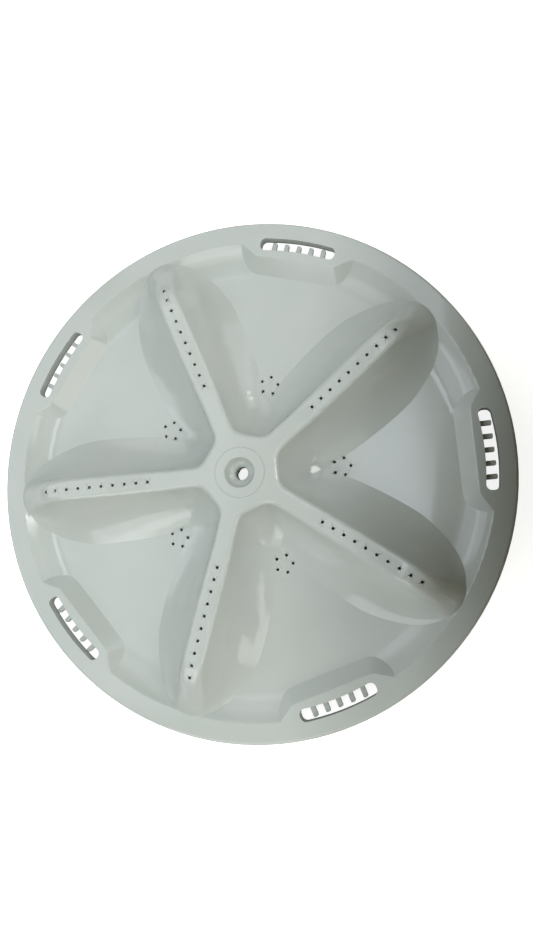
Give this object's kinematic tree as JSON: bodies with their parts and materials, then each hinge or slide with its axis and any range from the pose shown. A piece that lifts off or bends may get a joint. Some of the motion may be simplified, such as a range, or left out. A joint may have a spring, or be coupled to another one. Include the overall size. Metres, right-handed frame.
{
  "type": "washing machine pulsator plate",
  "caption": "Round moulded wash plate with hollow radial lobes, comb-toothed rim slots, drain holes and a splined centre boss held by one bolt.",
  "frame": {"origin": "on the plate's axis, at the level of the vanes and the boss that it stands on", "axes": "+Z along the axis, out of the wash side; +X through the middle of one rim slot"},
  "size_m": [0.355, 0.355, 0.0471],
  "materials": {
    "moulded_plastic": "glossy moulded polypropylene, pale warm grey"
  },
  "bodies": {
    "root": {"wash_plate": "moulded_plastic"}
  },
  "joints": []
}
